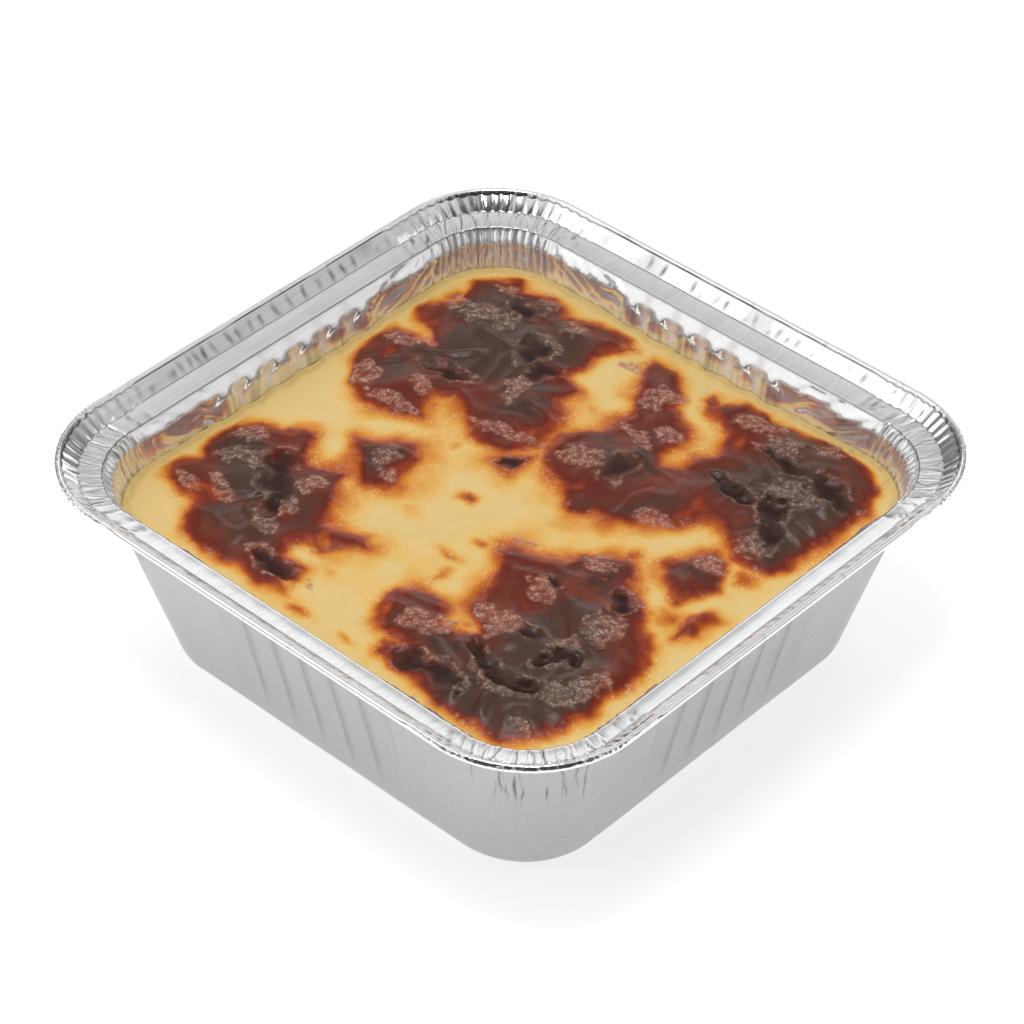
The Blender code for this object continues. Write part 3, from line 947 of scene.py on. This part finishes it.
def bake_outline(across, along, height):
    """Moves square places onto the bake's plan at a height, against the fluted wall."""
    inset, corner = wall_level(height, SHEET + FILL_GAP, 0)[:2]
    inset = inset + shoulder_push(height)
    half_x = TRAY_LENGTH / 2.0 - inset
    half_y = TRAY_WIDTH / 2.0 - inset
    x, y, ring = to_round_square(across, along, half_x, half_y, corner)
    by_wall = smooth(0.90, 1.0, ring)
    for side in range(4):
        outwards = (across, along, -across, -along)[side]
        beside = (y, -x, -y, x)[side]
        push = FLUTE_DEPTH * flute_push(side, beside, height) * by_wall * (outwards >= ring - 1e-9)
        x = x - push * (1.0, 0.0, -1.0, 0.0)[side]
        y = y - push * (0.0, 1.0, 0.0, -1.0)[side]
    return x, y, ring


def grow_side(mesh, edges, places, level):
    """Extrudes the bake's edge down to a level. Places are kept on the unit square."""
    made = bmesh.ops.extrude_edge_only(mesh, edges=edges)
    fresh = [item for item in made["geom"] if isinstance(item, bmesh.types.BMVert)]
    known = set(fresh)
    for vertex in fresh:
        partners = (edge.other_vert(vertex) for edge in vertex.link_edges)
        places[vertex] = places[next(partner for partner in partners if partner not in known)]
    spread = np.array([places[vertex] for vertex in fresh])
    x, y, _ = bake_outline(spread[:, 0], spread[:, 1], level)
    for vertex, vertex_x, vertex_y in zip(fresh, x, y):
        vertex.co = Vector((vertex_x, vertex_y, level))
    return [item for item in made["geom"] if isinstance(item, bmesh.types.BMEdge)]


def make_bake():
    """The set bake: a fine skin on top, sides against the foil and a flat underside."""
    mesh = bmesh.new()
    bmesh.ops.create_grid(mesh, x_segments=GRID, y_segments=GRID, size=1.0)
    mesh.verts.ensure_lookup_table()
    across = np.array([vertex.co.x for vertex in mesh.verts])
    along = np.array([vertex.co.y for vertex in mesh.verts])
    x, y, ring = bake_outline(across, along, FILL_HEIGHT)
    height, stored = skin_fields(x / MM, y / MM, ring)
    layers = [(mesh.verts.layers.float.new(name), values) for name, values in stored.items()]
    places = {}
    for index, vertex in enumerate(mesh.verts):
        places[vertex] = (across[index], along[index])
        vertex.co = Vector((x[index], y[index], FILL_HEIGHT + MM * height[index]))
        for layer, values in layers:
            vertex[layer] = values[index]

    edges = [edge for edge in mesh.edges if edge.is_boundary]
    for level in SIDE_LEVELS:
        edges = grow_side(mesh, edges, places, level)
    made = bmesh.ops.contextual_create(mesh, geom=[edge for edge in edges if edge.is_boundary])
    bmesh.ops.poke(mesh, faces=made["faces"])
    add_piece("baked_filling", mesh, bake_material(), "filling")


# Browning from raw to dark, and the other tones of the skin, with painted highlights on bubble tops
# and cream specks, painted shade in the pits and painted shade along the edge by the foil
BROWNING = (
    (0.02, linear(228, 196, 128)),
    (0.16, linear(230, 186, 104)),
    (0.30, linear(222, 150, 58)),
    (0.40, linear(196, 102, 30)),
    (0.49, linear(142, 52, 16)),
    (0.57, linear(104, 32, 12)),
    (0.70, linear(98, 44, 28)),
    (0.84, linear(86, 46, 36)),
    (1.00, linear(74, 44, 35)),
)
RUDDY = linear(128, 58, 36)
BURNT = linear(72, 45, 33)
BURNT_BUBBLE = linear(112, 88, 76)
# Painted highlight: glints on burnt bubble tops
BURNT_BUBBLE_GLINTS = linear(214, 198, 184)
BUBBLE_SKIN = linear(166, 104, 84)
# Painted highlight: glints on bubble tops
BUBBLE_GLINTS = linear(236, 206, 190)
# Painted highlight: glints of tiny bubbles in the golden cream
CREAM_GLINTS = linear(246, 226, 180)
# Painted shade in the pits
PIT_SHADE = linear(46, 12, 4)
# Painted shade along the bake's edge where it meets the foil
EDGE_SHADE = linear(204, 172, 106)

# Settings of the bake's surface that are the same all over
BAKE_SURFACE = {
    "Subsurface Weight": 0.12,
    "Subsurface Radius": (1.0, 0.5, 0.2),
    "Subsurface Scale": 0.0025,
    "Specular IOR Level": 0.26,
    "Coat Roughness": 0.34,
}


def bake_colour(nodes, place, stored, dome):
    """Cream to burnt skin, with bubble tops and their painted glints, hollows and the edge by the foil
    darkened as painted shade, and pale specks painted as glints.
    """
    char = stored["char"]
    patchy = nodes.noise(place, 95.0, 3.0)
    broad = nodes.noise(place, 160.0, 4.0)
    browned = nodes.maths("ADD", stored["toast"], nodes.scaled(broad, 0.22, -0.11))
    ruddy = nodes.product(nodes.step_up(patchy, 0.45, 0.62), nodes.step_up(browned, 0.55, 0.8))
    colour = nodes.mixed(nodes.scaled(ruddy, 0.66), nodes.ramp(browned, BROWNING), RUDDY)
    colour = nodes.mixed(char, colour, BURNT)

    bubble = nodes.mixed(char, BUBBLE_SKIN, BURNT_BUBBLE)
    colour = nodes.mixed(nodes.scaled(stored["blister"], 0.76), colour, bubble)
    # Pale dots on the tops of the tiny bubble domes are painted highlights
    clumps = nodes.scaled(nodes.step_up(nodes.noise(place, 480.0, 2.0), 0.34, 0.60), 0.70, 0.30)
    bubble_glints = nodes.product(nodes.step_up(dome, 0.28, 0.84), stored["blister"], clumps)
    colour = nodes.mixed(nodes.scaled(bubble_glints, 0.52), colour, nodes.mixed(char, BUBBLE_GLINTS, BURNT_BUBBLE_GLINTS))
    # The pits are darkened as painted shade
    colour = nodes.mixed(nodes.scaled(stored["pit"], 0.95), colour, PIT_SHADE)
    # The edge by the foil is darkened as painted shade
    colour = nodes.mixed(stored["edge"], colour, EDGE_SHADE)

    # Pale specks on the golden cream are painted highlights, glints of tiny bubbles
    specks = nodes.step_up(nodes.noise(place, 1250.0, 2.0), 0.56, 0.68)
    not_brown = nodes.scaled(nodes.step_up(browned, 0.34, 0.50), -1.0, 1.0)
    gold = nodes.product(nodes.step_up(browned, 0.03, 0.20), not_brown)
    light = nodes.product(specks, gold, nodes.step_up(patchy, 0.42, 0.60))
    return nodes.mixed(nodes.scaled(light, 0.42), colour, CREAM_GLINTS)


def bake_material():
    """Browned skin: dull bubbles and hollows, a glaze on the burnt parts, and a crumbly relief."""
    material, nodes = new_material("browned bake")
    place = nodes.place()
    stored = {name: nodes.stored(name) for name in ("toast", "char", "blister", "pit", "edge")}
    crust = stored["blister"]
    cells = nodes.node("ShaderNodeTexVoronoi", Vector=place, Scale=1350.0)
    dome = nodes.scaled(cells.outputs["Distance"], -1.0, 1.0)
    nodes.feed("Base Color", bake_colour(nodes, place, stored, dome))

    hollow = nodes.scaled(stored["pit"], 0.60)
    nodes.feed("Roughness", nodes.maths("MAXIMUM", nodes.scaled(crust, 0.30, 0.32), hollow))
    glaze = nodes.product(stored["char"], nodes.scaled(stored["pit"], -1.0, 1.0))
    nodes.feed("Coat Weight", nodes.scaled(glaze, 0.22))
    for name, value in BAKE_SURFACE.items():
        nodes.feed(name, value)

    fine = nodes.product(nodes.noise(place, 1700.0, 3.0), nodes.scaled(crust, 0.6, 0.25))
    crumb = nodes.maths("ADD", fine, nodes.product(dome, crust))
    peel = nodes.scaled(nodes.noise(place, 620.0, 3.0), 0.55)
    nodes.bump(nodes.maths("ADD", crumb, peel), 0.55, 0.0004)
    return material


# The studio

# The direction of the photographer's side, which is dark, and its least and full effect
DARK_SIDE = (0.73, -0.68, 0.0)
DARK_FROM = 0.20
DARK_TO = 0.50

# Brightness of the surroundings by the upward part of the direction
SKY_GLOW = ((0.0, 0.10), (0.30, 0.20), (0.50, 0.34), (0.64, 0.48), (0.80, 0.72), (1.0, 0.85))


def floor_material():
    """Plain white sweep, lit a little from below."""
    material, nodes = new_material("plain floor")
    nodes.feed("Base Color", (0.62, 0.62, 0.62, 1.0))
    nodes.feed("Roughness", 0.9)
    nodes.feed("Specular IOR Level", 0.1)
    nodes.feed("Emission Color", (1.0, 1.0, 1.0, 1.0))
    nodes.feed("Emission Strength", 0.67)
    return material


def make_floor():
    """A wide floor just under the tray."""
    mesh = bmesh.new()
    bmesh.ops.create_grid(mesh, x_segments=1, y_segments=1, size=3.0)
    bmesh.ops.translate(mesh, verts=mesh.verts, vec=(0.0, 0.0, -0.0002))
    mesh_object("studio_floor", mesh, floor_material())


def make_sky():
    """A studio that is dark towards the horizon and pale overhead."""
    world = bpy.data.worlds.new("soft_studio")
    nodes = Shading(world, "Background")
    direction = nodes.place("Generated")
    split = nodes.node("ShaderNodeSeparateXYZ", Vector=direction)
    greys = [(height, (glow, glow, glow)) for height, glow in SKY_GLOW]
    nodes.feed("Color", nodes.ramp(split.outputs["Z"], greys))
    facing = nodes.maths("DOT_PRODUCT", direction, DARK_SIDE, kind="ShaderNodeVectorMath")
    dark = nodes.step_up(facing, DARK_FROM, DARK_TO)
    nodes.feed("Strength", nodes.scaled(dark, -0.92, 1.0))
    bpy.context.scene.world = world


def add_softbox(name, place, aim, width, height, power):
    """A rectangular soft light turned to a point."""
    light = bpy.data.lights.new(name, "AREA")
    light.shape = "RECTANGLE"
    light.size = width
    light.size_y = height
    light.energy = power
    lamp = bpy.data.objects.new(name, light)
    lamp.location = place
    lamp.rotation_euler = (Vector(aim) - Vector(place)).to_track_quat("-Z", "Y").to_euler()
    bpy.context.scene.collection.objects.link(lamp)


def make_lights():
    """Tall boxes on the left, right and behind, and a small one overhead."""
    rim = (0.0, 0.0, 0.05)
    add_softbox("left_box", (-0.60, -0.76, 0.74), rim, 1.3, 0.9, 2.9)
    add_softbox("right_box", (0.88, 0.52, 0.60), rim, 1.0, 0.6, 1.0)
    add_softbox("back_box", (-0.69, 0.89, 0.41), rim, 1.3, 0.55, 2.3)
    add_softbox("top_box", (0.02, -0.16, 1.3), (0.0, 0.0, 0.0), 0.5, 0.5, 6.3)


def make_camera():
    """The photograph's view of the tray."""
    turn = math.radians(VIEW_TURN)
    rise = math.radians(VIEW_RISE)
    back = Vector((math.sin(turn) * math.cos(rise), -math.cos(turn) * math.cos(rise), math.sin(rise)))
    right = Vector((math.cos(turn), math.sin(turn), 0.0))
    up = back.cross(right)
    roll = Matrix.Rotation(math.radians(VIEW_ROLL), 3, back)
    right = roll @ right
    up = roll @ up
    camera = bpy.data.objects.new("camera", bpy.data.cameras.new("camera"))
    camera.data.lens = LENS
    camera.data.sensor_width = 36.0
    camera.data.clip_end = 20.0
    place = Matrix((right, up, back)).transposed().to_4x4()
    aim = Vector((0.0, 0.0, VIEW_AIM))
    place.translation = back * VIEW_DISTANCE + aim + right * VIEW_SLIDE + up * VIEW_LIFT
    camera.matrix_world = place
    bpy.context.scene.collection.objects.link(camera)
    bpy.context.scene.camera = camera


def main():
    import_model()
    make_camera()
    make_sky()
    make_lights()
    make_floor()
    make_tray()
    make_bake()
    bpy.context.scene.view_settings.view_transform = "Standard"
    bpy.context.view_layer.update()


main()
